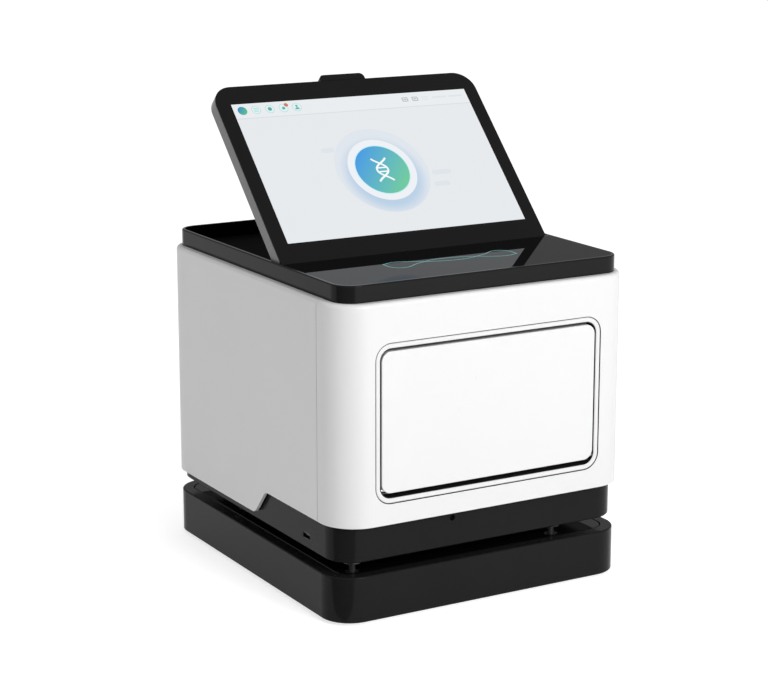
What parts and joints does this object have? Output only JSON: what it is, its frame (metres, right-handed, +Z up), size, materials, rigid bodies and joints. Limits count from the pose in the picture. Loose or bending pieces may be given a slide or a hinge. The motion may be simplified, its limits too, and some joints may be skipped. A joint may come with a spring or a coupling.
{
  "type": "benchtop sequencer",
  "caption": "Desktop box-shaped laboratory sequencer with a tilting touch screen, drop-down loading door, sliding tray and a vibration-damping base.",
  "frame": {"origin": "middle of the footprint, at the height that the base's rubber feet stand on", "axes": "+Z up, +X to the right as seen from the front, +Y to the back; the door faces -Y"},
  "size_m": [0.301, 0.341, 0.4386],
  "materials": {
    "base_black": "satin black",
    "platform_gloss": "gloss black",
    "chassis_black": "satin black",
    "rubber_black": "matt",
    "insert_black": "matt",
    "foot_grey": "satin",
    "bare_steel": "satin",
    "lens_dark": "gloss",
    "frame_metal": "satin",
    "cover_white": "fine satin",
    "door_white": "satin",
    "liner_grey": "matt",
    "board_green": "satin",
    "contact_brass": "satin",
    "deck_black": "satin black",
    "deck_glass": "mirror gloss",
    "light_teal": "lit",
    "housing_black": "satin",
    "screen_glass": "gloss",
    "display": "lit"
  },
  "bodies": {
    "base": {"base_shell": "base_black", "base_floor": "bare_steel", "base_screws": "bare_steel", "base_feet": "rubber_black", "isolators": "rubber_black"},
    "platform": {"platform_plate": "platform_gloss", "foot_cups": "insert_black"},
    "cabinet": {"chassis_tray": "chassis_black", "instrument_feet": "foot_grey", "usb_shell": "bare_steel", "usb_tongue": "insert_black", "sensor_lens": "lens_dark", "frame_posts": "frame_metal", "top_plate": "frame_metal", "front_cover": "cover_white", "left_cover": "cover_white", "right_cover": "cover_white", "rear_panel": "cover_white", "rear_screws": "bare_steel", "door_bezel": "cover_white", "bay_liner": "liner_grey", "tray_rails": "frame_metal", "optics_block": "frame_metal", "objective_lens": "lens_dark", "pump_block": "liner_grey", "board_standoffs": "bare_steel", "mainboard": "board_green", "power_supply": "frame_metal", "fan_frame": "insert_black", "fan_guard": "bare_steel", "power_inlet": "insert_black", "inlet_pins": "contact_brass", "lan_port": "bare_steel", "switch_frame": "insert_black", "deck_frame": "deck_black", "deck_glass": "deck_glass", "status_light": "light_teal", "deck_screws": "bare_steel"},
    "screen": {"screen_housing": "housing_black", "screen_glass": "screen_glass", "display_panel": "display", "screen_board": "board_green", "screen_pins": "bare_steel", "screen_screws": "bare_steel"},
    "door": {"door_panel": "door_white", "door_backer": "liner_grey", "door_pins": "bare_steel"},
    "tray": {"tray": "liner_grey", "cartridge_nest": "insert_black", "nest_clips": "bare_steel"},
    "fan": {"fan_rotor": "insert_black"},
    "rocker": {"switch_rocker": "insert_black"}
  },
  "joints": [
    {"name": "platform_float", "type": "slide", "parent": "base", "child": "platform", "axis": [0, 0, 1], "range_m": [-0.002, 0.001], "stiffness_N_per_m": 60000, "springref_m": 0.00236, "deforming": ["isolators"]},
    {"name": "instrument_lift", "type": "slide", "parent": "platform", "child": "cabinet", "axis": [0, 0, 1], "range_m": [0, 0.04]},
    {"name": "screen_tilt", "type": "hinge", "parent": "cabinet", "child": "screen", "pos_m": [0, -0.04574, 0.2953], "axis": [1, 0, 0], "range_deg": [-45.3, 30]},
    {"name": "door_hinge", "type": "hinge", "parent": "cabinet", "child": "door", "pos_m": [0, -0.1675, 0.1196], "axis": [1, 0, 0], "range_deg": [0, 90]},
    {"name": "tray_slide", "type": "slide", "parent": "cabinet", "child": "tray", "axis": [0, -1, 0], "range_m": [0, 0.112]},
    {"name": "fan_spin", "type": "hinge", "parent": "cabinet", "child": "fan", "pos_m": [-0.062, 0.159, 0.173], "axis": [0, 1, 0], "continuous": true},
    {"name": "mains_rocker", "type": "hinge", "parent": "cabinet", "child": "rocker", "pos_m": [0.036, 0.1625, 0.112], "axis": [1, 0, 0], "range_deg": [-8, 8]}
  ],
  "couplings": [
    {"joint": "tray_slide", "follows": "door_hinge", "m_per_rad": 0.07}
  ]
}
